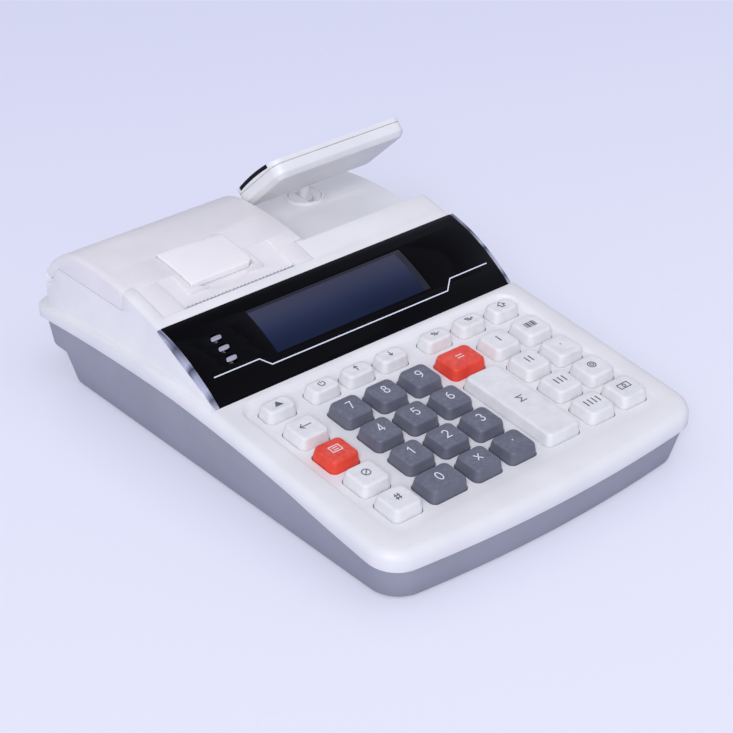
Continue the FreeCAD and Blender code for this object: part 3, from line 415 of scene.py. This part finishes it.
def smooth_by_angle(angle):
    """Geometry nodes that shade a surface smooth except where its faces meet more sharply than angle."""
    group = bpy.data.node_groups.new("smooth_below_angle", "GeometryNodeTree")
    group.interface.new_socket("Geometry", in_out="INPUT", socket_type="NodeSocketGeometry")
    group.interface.new_socket("Geometry", in_out="OUTPUT", socket_type="NodeSocketGeometry")
    start = group.nodes.new("NodeGroupInput")
    end = group.nodes.new("NodeGroupOutput")
    faces = group.nodes.new("GeometryNodeSetShadeSmooth")
    edges = group.nodes.new("GeometryNodeSetShadeSmooth")
    edges.domain = "EDGE"
    edges.inputs["Shade Smooth"].default_value = False
    between = group.nodes.new("GeometryNodeInputMeshEdgeAngle")
    sharp = group.nodes.new("ShaderNodeMath")
    sharp.operation = "GREATER_THAN"
    sharp.inputs[1].default_value = math.radians(angle)
    link = group.links.new
    link(start.outputs[0], faces.inputs["Geometry"])
    link(faces.outputs["Geometry"], edges.inputs["Geometry"])
    link(between.outputs[0], sharp.inputs[0])
    link(sharp.outputs[0], edges.inputs["Selection"])
    link(edges.outputs["Geometry"], end.inputs[0])
    return group


SMOOTH = smooth_by_angle(38)


def soften(obj, width, segments=2, angle=30):
    """Round an object's edges and smooth its shading."""
    weld = obj.modifiers.new("weld", "WELD")
    weld.merge_threshold = 0.002 * MM
    if width:
        bevel = obj.modifiers.new("edges", "BEVEL")
        bevel.width = width * MM
        bevel.segments = segments
        bevel.limit_method = "ANGLE"
        bevel.angle_limit = math.radians(angle)
        bevel.use_clamp_overlap = True
        bevel.miter_outer = "MITER_ARC"
    shading = obj.modifiers.new("shading", "NODES")
    shading.node_group = SMOOTH


# Pieces that keep their CAD form, with the width that their edges are rounded by
EDGE_WIDTHS = {
    "top_shell": 0.4, "bottom_case": 0.5, "feet": 0.5, "case_screws": 0.25, "port_block": 0.3,
    "display_panel": 0.25, "lcd_window": 0.1, "trim_left": 0.9, "trim_right": 0.9,
    "key_mat": 0.3, "key_board": 0.1, "main_board": 0.1, "lcd_module": 0.1,
    "printer_cover": 0.4, "cover_hinge_pin": 0.2, "platen_roller": 0.15, "print_mechanism": 0.4,
    "paper_bay": 0.4, "bay_frame": 0.3, "tear_bar": 0,
    "pod_front_shell": 0.3, "pod_rear_shell": 0.5, "pod_window": 0.2, "pod_stem": 0.4, "pod_turret": 0.3}
for name, width in EDGE_WIDTHS.items():
    soften(nodes[name], width)


def new_piece(name, mesh, body, material):
    data = bpy.data.meshes.new(name)
    bmesh.ops.recalc_face_normals(mesh, faces=mesh.faces)
    mesh.to_mesh(data)
    mesh.free()
    piece = bpy.data.objects.new(name, data)
    scene.collection.objects.link(piece)
    data.materials.append(material)
    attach(piece, body)
    return piece


def sheet_of(mesh, outline, place, low, high):
    """Thin plate with a flat outline, its points put in place by place(u, v, w)."""
    lower = [mesh.verts.new(place(u, v, low)) for u, v in outline]
    upper = [mesh.verts.new(place(u, v, high)) for u, v in outline]
    mesh.faces.new(upper)
    mesh.faces.new(lower[::-1])
    for i in range(len(outline)):
        mesh.faces.new((lower[i - 1], lower[i], upper[i], upper[i - 1]))


def stroke(mesh, path, width, place, low, high, closed=False):
    """Printed or raised line of even width along a path."""
    count = len(path)
    left, right = [], []
    for i, point in enumerate(path):
        here = Vector(point)
        before = Vector(path[i - 1]) if closed or i else None
        after = Vector(path[(i + 1) % count]) if closed or i < count - 1 else None
        into = (here - before).normalized() if before else (after - here).normalized()
        out = (after - here).normalized() if after else into
        along = (into + out).normalized()
        reach = width / 2 / max(0.35, along.dot(into))
        side = Vector((-along.y, along.x)) * reach
        left.append(here + side)
        right.append(here - side)
    rings = [[mesh.verts.new(place(p.x, p.y, w)) for p, w in ((a, low), (a, high), (b, high), (b, low))]
             for a, b in zip(left, right)]
    for i in range(0 if closed else 1, count):
        for k in range(4):
            mesh.faces.new((rings[i - 1][k], rings[i - 1][k - 1], rings[i][k - 1], rings[i][k]))
    if not closed:
        mesh.faces.new(rings[0])
        mesh.faces.new(rings[-1][::-1])


def bow(x, y, rx, ry, start, end, steps=14):
    """Points on an ellipse between two angles in degrees."""
    turns = [math.radians(start + (end - start) * i / steps) for i in range(steps + 1)]
    return [(x + rx * math.cos(a), y + ry * math.sin(a)) for a in turns]


def ring(x, y, rx, ry, steps=24):
    return bow(x, y, rx, ry, 0, 360, steps)[:-1]


SIX = [(ring(0.3, 0.29, 0.26, 0.27), True), (bow(0.5, 0.3, 0.46, 0.66, 180, 100), False)]
# Legends as lines, one high and round the middle x of 0.3: (points, whether the line closes)
LEGENDS = {
    "0": [(ring(0.3, 0.5, 0.26, 0.47), True)],
    "1": [([(0.1, 0.76), (0.34, 0.97), (0.34, 0.03)], False)],
    "2": [(bow(0.3, 0.71, 0.25, 0.26, 165, -30) + [(0.04, 0.03), (0.58, 0.03)], False)],
    "3": [(bow(0.28, 0.74, 0.22, 0.23, 155, -85), False), (bow(0.28, 0.28, 0.26, 0.25, 85, -155), False)],
    "4": [([(0.43, 0.03), (0.43, 0.97), (0.03, 0.28), (0.6, 0.28)], False)],
    "5": [([(0.53, 0.96), (0.14, 0.96), (0.09, 0.53)] + bow(0.29, 0.33, 0.26, 0.3, 125, -150), False)],
    "6": SIX,
    "7": [([(0.04, 0.96), (0.56, 0.96), (0.2, 0.03)], False)],
    "8": [(ring(0.3, 0.75, 0.2, 0.21), True), (ring(0.3, 0.28, 0.25, 0.26), True)],
    "9": [([(0.6 - x, 1 - y) for x, y in path], closed) for path, closed in SIX],
    "times": [([(0.02, 0.14), (0.58, 0.86)], False), ([(0.02, 0.86), (0.58, 0.14)], False)],
    "point": [([(0.3, 0.44), (0.3, 0.6)], False)],
    "power": [(bow(0.3, 0.48, 0.4, 0.4, 125, 415, 24), False), ([(0.3, 0.96), (0.3, 0.55)], False)],
    "up": [([(0.3, 0.05), (0.3, 0.9)], False), ([(0.04, 0.6), (0.3, 0.93), (0.56, 0.6)], False)],
    "down": [([(0.3, 0.95), (0.3, 0.1)], False), ([(0.04, 0.4), (0.3, 0.07), (0.56, 0.4)], False)],
    "shift": [([(0.3, 1.0), (0.86, 0.46), (0.55, 0.46), (0.55, 0.06), (0.05, 0.06), (0.05, 0.46),
                (-0.26, 0.46)], True)],
    "less": [([(0.1, 0.2), (0.5, 0.8)], False), (ring(0.08, 0.66, 0.11, 0.13, 12), True),
             (ring(0.52, 0.34, 0.11, 0.13, 12), True), ([(0.75, 0.5), (1.05, 0.5)], False)],
    "more": [([(0.1, 0.2), (0.5, 0.8)], False), (ring(0.08, 0.66, 0.11, 0.13, 12), True),
             (ring(0.52, 0.34, 0.11, 0.13, 12), True), ([(0.75, 0.5), (1.05, 0.5)], False),
             ([(0.9, 0.35), (0.9, 0.65)], False)],
    "back": [([(0.95, 0.5), (-0.3, 0.5)], False), ([(0.05, 0.15), (-0.33, 0.5), (0.05, 0.85)], False)],
    "feed": [([(-0.25, 0.1), (-0.25, 0.9), (0.85, 0.9), (0.85, 0.1)], True),
             ([(0.0, 0.65), (0.6, 0.65)], False), ([(0.0, 0.35), (0.6, 0.35)], False)],
    "cross": [(ring(0.3, 0.5, 0.42, 0.42), True), ([(0.02, 0.22), (0.58, 0.78)], False)],
    "hash": [([(0.1, 0.08), (0.2, 0.92)], False), ([(0.42, 0.08), (0.52, 0.92)], False),
             ([(-0.06, 0.32), (0.62, 0.32)], False), ([(-0.02, 0.66), (0.66, 0.66)], False)],
    "equals": [([(-0.1, 0.3), (0.7, 0.3)], False), ([(-0.1, 0.66), (0.7, 0.66)], False)],
    "sum": [([(0.75, 0.9), (-0.05, 0.9), (0.42, 0.5), (-0.05, 0.1), (0.75, 0.1)], False)],
    "bars": [([(x, 0.1), (x, 0.9)], False) for x in (-0.3, -0.05, 0.08, 0.32, 0.56, 0.7, 0.9)],
    "coin": [(ring(0.3, 0.5, 0.42, 0.42), True), (ring(0.3, 0.5, 0.2, 0.2), True)],
    "note": [([(-0.35, 0.15), (-0.35, 0.85), (0.95, 0.85), (0.95, 0.15)], True),
             (ring(0.3, 0.5, 0.18, 0.2), True)],
}
DIGITS = {"b1": "7", "c1": "8", "d1": "9", "b2": "4", "c2": "5", "d2": "6", "b3": "1", "c3": "2", "d3": "3",
          "b4": "0", "c4": "times", "d4": "point"}
MARKS = {"function_2": "power", "function_3": "up", "function_4": "down", "function_5": "less",
         "function_6": "more", "function_7": "shift", "a1": "back", "a2": "feed", "a3": "cross", "a4": "hash",
         "e1": "equals", "e2": "sum", "g1": "bars", "g2": "point", "g3": "coin", "g4": "note"}


def key_half(name):
    """Half the width and half the depth of a key, along the deck."""
    low, high = (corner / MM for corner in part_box(name))
    return (high.x - low.x) / 2 - KEY_FLANGE, (high.y - low.y) / 2 / math.cos(DECK_TILT) - KEY_FLANGE


def key_top(name):
    """Frame of a key's top face: u to the right, v back along the deck and w out of the face."""
    low, high = (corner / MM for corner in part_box(name))
    top_half_depth = key_half(name)[1] - KEY_TOP_INSET
    middle = Vector(((low.x + high.x) / 2,
                     (low.y + high.y) / 2 - (KEY_BELOW + KEY_HEIGHT) * math.sin(DECK_TILT),
                     high.z - top_half_depth * math.sin(DECK_TILT)))
    turn = Matrix.Rotation(DECK_TILT, 3, "X")
    return lambda u, v, w: (middle + turn @ Vector((u, v, w))) * MM


def corner_arcs(half_w, half_d, radius, steps):
    """The four corners of a rectangle: the signs of each and its round stretch as points (u, v)."""
    for turn, (su, sv) in enumerate(((1, 1), (-1, 1), (-1, -1), (1, -1))):
        middle = (su * (half_w - radius), sv * (half_d - radius))
        yield su, sv, bow(*middle, radius, radius, 90 * turn, 90 * turn + 90, steps)


def rounded(half_w, half_d, radius, steps=6):
    """Outline of a rectangle with round corners, as points (u, v)."""
    return [point for su, sv, arc in corner_arcs(half_w, half_d, radius, steps) for point in arc]


# Levels of a key from its sleeve under the deck up to the middle of its dished top: (inset, height
# from the top), with the shoulder as a quarter of an ellipse
SHOULDER_INSET, SHOULDER_W, SHOULDER_H = 0.62, 1.15, 1.25
KEY_LEVELS = [(0.0, -8.0), (0.0, -KEY_HEIGHT), (0.12, -4.4), (0.42, -2.2), (SHOULDER_INSET, -SHOULDER_H)]
for turn in (18, 36, 54, 72, 90):
    KEY_LEVELS.append((SHOULDER_INSET + SHOULDER_W * (1 - math.cos(math.radians(turn))),
                       -SHOULDER_H + SHOULDER_H * math.sin(math.radians(turn))))
KEY_LEVELS += [(2.6, -0.02), (4.0, -0.1)]


def key_cap(name):
    """Key with an upright sleeve, a soft shoulder and a slightly dished top."""
    half_w, half_d = key_half(name)
    half = min(half_w, half_d)
    place = key_top(name)
    mesh = bmesh.new()
    rings = []
    for inset, height in KEY_LEVELS:
        inset = min(inset, 0.6 * half)
        radius = min(max(0.9, KEY_CORNER_R - inset * 0.35), half - inset - 0.05)
        rings.append([mesh.verts.new(place(u, v, height))
                      for u, v in rounded(half_w - inset, half_d - inset, radius)])
    for lower, upper in zip(rings, rings[1:]):
        for i in range(len(lower)):
            mesh.faces.new((lower[i - 1], lower[i], upper[i], upper[i - 1]))
    mesh.faces.new(rings[-1])
    mesh.faces.new(rings[0][::-1])
    slot = nodes[name]["slot"]
    cap = new_piece(f"cap_{name[4:]}", mesh, name, FINISHES[slot])
    soften(cap, 0)
    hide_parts(name)


def hole_corners():
    """Round corners of the deck's key holes, from just under the deck's face to 2 mm below it."""
    mesh = bmesh.new()
    for name in keys:
        half_w, half_d = (half + HOLE_GAP for half in key_half(name))
        place = key_top(name)
        for su, sv, arc in corner_arcs(half_w, half_d, HOLE_CORNER_R, 5):
            outline = arc + [(su * (half_w + 0.05), sv * (half_d + 0.05))]
            sheet_of(mesh, outline, place, -KEY_HEIGHT - 2.0, -KEY_HEIGHT - 0.02)
    corners = new_piece("key_hole_corners", mesh, "case", FINISHES["white_shell"])
    soften(corners, 0)


keys = [name for name in nodes if name.startswith("key_") and name not in EDGE_WIDTHS]
for name in keys:
    key_cap(name)
hole_corners()


def print_legend(key, mark, material, slot, weight, height):
    place = key_top(f"key_{key}")
    mesh = bmesh.new()
    for path, closed in LEGENDS[mark]:
        points = [((x - 0.3) * height, (y - 0.5) * height + LEGEND_BACK) for x, y in path]
        stroke(mesh, points, weight, place, INK_LOW, INK, closed)
    new_piece(f"legend_{key}", mesh, f"key_{key}", material)


for key, mark in DIGITS.items():
    print_legend(key, mark, WHITE_INK, "key_light", DIGIT_WEIGHT, DIGIT_HEIGHT)
for key, mark in MARKS.items():
    printed = (WHITE_INK, "key_light") if key in ("a2", "e1") else (GREY_INK, "key_dark")
    height = SMALL_MARK_HEIGHT if key.startswith("function") else MARK_HEIGHT
    print_legend(key, mark, *printed, MARK_WEIGHT, height)

mesh = bmesh.new()
sheet_of(mesh, [(-2.1, -1.3), (2.1, -1.3), (0.0, 1.9)], key_top("key_function_1"), INK_LOW, INK)
new_piece("legend_function_1", mesh, "key_function_1", GREY_INK)

for number, key in enumerate(("f1", "f2", "f3", "f4"), 1):
    mesh = bmesh.new()
    for i in range(number):
        x = (i - (number - 1) / 2) * BAR_PITCH
        bar = [(x, LEGEND_BACK - BAR_HEIGHT / 2), (x, LEGEND_BACK + BAR_HEIGHT / 2)]
        stroke(mesh, bar, BAR_WEIGHT, key_top(f"key_{key}"), INK_LOW, INK)
    new_piece(f"legend_{key}", mesh, f"key_{key}", GREY_INK)


def on_panel(x, up, out):
    """Point of the operator panel: up its chord, and out from its arched face."""
    radius = (PANEL_CHORD ** 2 / 4 + PANEL_BULGE ** 2) / (2 * PANEL_BULGE)
    rise = math.sqrt(radius ** 2 - (up - PANEL_CHORD / 2) ** 2) - (radius - PANEL_BULGE) + out
    along = Vector((0, math.cos(PANEL_TILT), math.sin(PANEL_TILT)))
    off = Vector((0, -math.sin(PANEL_TILT), math.cos(PANEL_TILT)))
    return (PANEL_LOW + Vector((x, 0, 0)) + along * up + off * rise) * MM


mesh = bmesh.new()
line = [(-76.6, 12.9), (-53.0, 12.8), (-51.0, 10.6), (-49.0, 8.5),
        (50.0, 8.0), (52.5, 10.5), (55.0, 12.9), (77.5, 12.9)]
stroke(mesh, line, PANEL_LINE_W, on_panel, INK_LOW, INK)
new_piece("panel_line", mesh, "case", LINE_INK)

mesh = bmesh.new()
for middle in LAMP_MIDDLES:
    outline = []
    for x, y in ring(0, 0, 1, 1, 28):
        u = math.copysign(abs(x) ** LAMP_ROUNDNESS, x) * LAMP_HALF[0]
        v = math.copysign(abs(y) ** LAMP_ROUNDNESS, y) * LAMP_HALF[1]
        outline.append((LAMPS_X + u + v * LAMP_LEAN, middle + v))
    sheet_of(mesh, outline, on_panel, -LAMP_PROUD, LAMP_PROUD)
lamps = new_piece("lamp_pills", mesh, "case", FINISHES["indicator"])
soften(lamps, 0.35, 3, 40)
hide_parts("indicator_lenses")


def crown_z(y, rise):
    """Height of the crown's front arc, raised along its radius."""
    chord = math.atan2(CROWN_REAR[1] - CROWN_START[1], CROWN_REAR[0] - CROWN_START[0])
    radius = math.dist(CROWN_START, CROWN_REAR) / 2 / math.sin(CROWN_ANGLE - chord)
    centre_y = CROWN_START[0] + radius * math.sin(CROWN_ANGLE)
    centre_z = CROWN_START[1] - radius * math.cos(CROWN_ANGLE)
    return centre_z + math.sqrt((radius + rise) ** 2 - (y - centre_y) ** 2)


def latch_mesh():
    """The cover's latch: a plate over the crown with round corners on its right."""
    low, high = (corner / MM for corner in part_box("cover_latch"))
    steps = 14
    mesh = bmesh.new()
    columns = []
    for i in range(steps + 1):
        y = low.y + (high.y - low.y) * i / steps
        right = high.x
        for radius, past in ((LATCH_FRONT_R, low.y + LATCH_FRONT_R - y),
                             (LATCH_REAR_R, y - high.y + LATCH_REAR_R)):
            if past > 0:
                right -= radius - math.sqrt(max(0.0, radius ** 2 - past ** 2))
        corners = ((low.x, -LATCH_SUNK), (right, -LATCH_SUNK), (right, LATCH_PROUD), (low.x, LATCH_PROUD))
        columns.append([mesh.verts.new(Vector((x, y, crown_z(y, rise))) * MM) for x, rise in corners])
    for a, b in zip(columns, columns[1:]):
        for k in range(4):
            mesh.faces.new((a[k - 1], a[k], b[k], b[k - 1]))
    mesh.faces.new(columns[0])
    mesh.faces.new(columns[-1][::-1])
    return mesh


latch_plastic = moulded("latch_plastic", paint(251, 249, 247), paint(245, 243, 243), 0.38)
latch = new_piece("latch_plate", latch_mesh(), "latch", latch_plastic)
soften(latch, 0.5, 3, 25)
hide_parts("cover_latch")


def on_pod(u, v, w):
    """Point of the customer display: u to the right, v back and w up while it is drawn level."""
    folded = Matrix.Rotation(POD_SLOPE, 3, "X") @ Vector((u, v, w)) + POD_FOLDED
    raised = Matrix.Rotation(-POD_RAISE, 3, "X") @ (folded - POD_PIVOT) + POD_PIVOT
    return (raised + Vector((0, 0, STAND))) * MM


def glass_end(side):
    """Smoked glass over one end of the customer display's arched face, with side -1 for the left end."""
    # Distance from the middle, and height from the arch
    section = ((36.3, 0.04), (38.06, 0.04), (38.06, -1.9), (37.7, -1.9), (37.7, -0.3), (36.3, -0.3))
    steps = 16
    mesh = bmesh.new()
    sections = []
    for i in range(steps + 1):
        v = GLASS_LOW + (GLASS_HIGH - GLASS_LOW) * i / steps
        top = POD_TOP - POD_CROWN * ((v - POD_MIDDLE) / POD_HALF_ARCH) ** 2
        sections.append([mesh.verts.new(on_pod(side * u, v, top + w)) for u, w in section])
    for a, b in zip(sections, sections[1:]):
        for k in range(len(a)):
            mesh.faces.new((a[k - 1], a[k], b[k], b[k - 1]))
    mesh.faces.new(sections[0])
    mesh.faces.new(sections[-1][::-1])
    return mesh


for name, side in (("pod_glass_left", -1), ("pod_glass_right", 1)):
    glass = new_piece(name, glass_end(side), "pod", FINISHES["black_gloss"])
    soften(glass, 0.15, 2, 40)

# Floor: pale, a little darker towards the back, and brighter to the camera than to the object; the darkening
# towards the back is painted shade, a painted falloff of light
floor = Finish("floor", specular_ior_level=0.35)
x, y = floor.axes(floor.place())[:2]
# Mask of the painted falloff: 0 near the camera and 1 towards the back.
painted_falloff = floor.smooth(x * 0.45 + y * 0.9, -0.35, 0.75)
cloud = floor.noise(700.0, 2.0)
painted_falloff_colour = floor.mix(painted_falloff, paint(222, 222, 240), paint(206, 208, 234))
floor.feed(base_color=floor.mix(cloud * 0.3, painted_falloff_colour, paint(214, 215, 236)),
           roughness=0.22 + floor.noise(60.0) * 0.08)
shown = floor.add("ShaderNodeLightPath")
# The camera-ray emission fades towards the back too, more painted falloff of light.
glow_colour = floor.mix(painted_falloff, paint(246, 250, 234), paint(186, 190, 178))
glow = floor.add("ShaderNodeEmission", {}, {"Color": glow_colour, "Strength": 0.22})
plain = Value(floor, floor.shader.outputs[0])
lit = floor.add("ShaderNodeAddShader", {}, {0: plain, 1: glow})
both = floor.add("ShaderNodeMixShader", {}, {0: shown, 1: plain, 2: lit})
floor.join(both, floor.tree.nodes["Material Output"].inputs[0])
mesh = bmesh.new()
bmesh.ops.create_grid(mesh, x_segments=2, y_segments=2, size=30)
floor_data = bpy.data.meshes.new("floor")
mesh.to_mesh(floor_data)
mesh.free()
floor_piece = bpy.data.objects.new("floor", floor_data)
floor_data.materials.append(floor.material)
scene.collection.objects.link(floor_piece)

# World: even daylight on the object, and a pale studio where it is seen or mirrored
world = bpy.data.worlds.new("studio")
scene.world = world
sky = Nodes(world)
path = sky.add("ShaderNodeLightPath")
camera_ray, glossy_ray, clear_ray = (Value(sky, path.socket.node.outputs[name])
                                     for name in ("Is Camera Ray", "Is Glossy Ray", "Is Transmission Ray"))
either = camera_ray + glossy_ray
shown = sky.add("ShaderNodeMath", {"operation": "ADD", "use_clamp": True}, {0: either, 1: clear_ray})
light = sky.add("ShaderNodeBackground", {}, {"Color": DAYLIGHT, "Strength": 0.56})
height = sky.axes(sky.place("Generated"))[2]
stops = [(0.0, paint(196, 199, 222)), (0.3, paint(214, 217, 240)), (1.0, paint(120, 123, 146))]
view = sky.add("ShaderNodeValToRGB", {"stops": stops}, {0: height})
backdrop = sky.add("ShaderNodeBackground", {}, {"Color": view, "Strength": 1.0})
both = sky.add("ShaderNodeMixShader", {}, {0: shown, 1: light, 2: backdrop})
sky.join(both, sky.tree.nodes["World Output"].inputs[0])


def sun(name, azimuth, elevation, strength, angle):
    """Sun seen from the object at azimuth degrees to the right of the front, and angle degrees across."""
    lamp = bpy.data.lights.new(name, "SUN")
    lamp.energy = strength
    lamp.angle = math.radians(angle)
    lamp.color = DAYLIGHT[:3]
    holder = bpy.data.objects.new(name, lamp)
    a, e = math.radians(azimuth), math.radians(elevation)
    towards = Vector((math.sin(a) * math.cos(e), -math.cos(a) * math.cos(e), math.sin(e)))
    holder.rotation_euler = towards.to_track_quat("Z", "Y").to_euler()
    scene.collection.objects.link(holder)


sun("key_light", -46, 34, 1.74, 26)
sun("top_light", 30, 74, 0.25, 60)

camera = bpy.data.cameras.new("camera")
camera.sensor_width = SENSOR
camera.lens = FOCAL_LENGTH / IMAGE_WIDTH * SENSOR
holder = bpy.data.objects.new("camera", camera)
holder.location = CAMERA_PLACE
aim = Vector(CAMERA_AIM) - holder.location
holder.rotation_euler = aim.to_track_quat("-Z", "Y").to_euler()
scene.collection.objects.link(holder)
scene.camera = holder
scene.view_settings.view_transform = "Standard"
